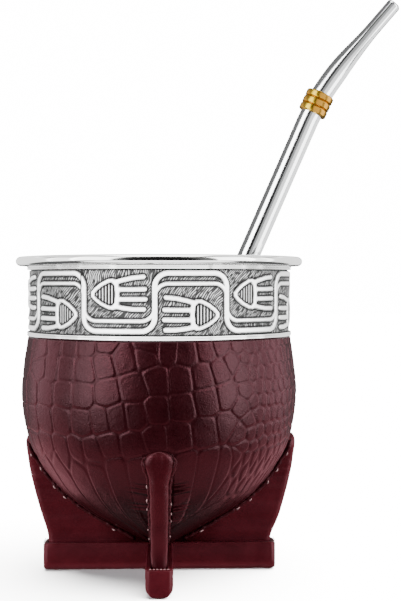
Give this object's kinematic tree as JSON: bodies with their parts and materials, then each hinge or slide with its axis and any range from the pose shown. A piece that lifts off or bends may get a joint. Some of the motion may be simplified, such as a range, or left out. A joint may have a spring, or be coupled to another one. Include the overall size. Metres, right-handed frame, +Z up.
{
  "type": "mate gourd drink",
  "caption": "Leather-covered mate gourd on a cross of leather fins, with a chased metal band, a rolled rim and a bent metal straw standing in the yerba.",
  "frame": {"origin": "centre of the foot cross's underside, on the cup's axis", "axes": "+Z up along the cup's axis, -Y the front with the fin that faces the viewer, +X the side that the straw leans to"},
  "size_m": [0.1227, 0.0914, 0.1834],
  "materials": {
    "polished_silver": "polished",
    "oxidised_silver": "chased and darkened in the ground",
    "crocodile_leather": "glossy, embossed in crocodile scales",
    "plain_leather": "glossy, smooth",
    "gourd_rind": "matt",
    "polished_steel": "polished",
    "brass": "polished",
    "yerba_leaf": "moist cut leaf",
    "infusion": "liquid with a little froth"
  },
  "bodies": {
    "root": {"rim": "polished_silver", "band_top_bead": "polished_silver", "band": "oxidised_silver", "band_base_ring": "polished_silver", "leather_cover": "crocodile_leather", "gourd": "gourd_rind", "fin_right": "plain_leather", "fin_back": "plain_leather", "fin_left": "plain_leather", "fin_front": "plain_leather", "foot_strip_sides": "plain_leather", "foot_strip_front": "plain_leather", "foot_strip_back": "plain_leather", "straw": "polished_steel", "straw_ring_lower": "brass", "straw_ring_middle": "brass", "straw_ring_upper": "brass", "yerba": "yerba_leaf", "infusion": "infusion"}
  },
  "joints": []
}
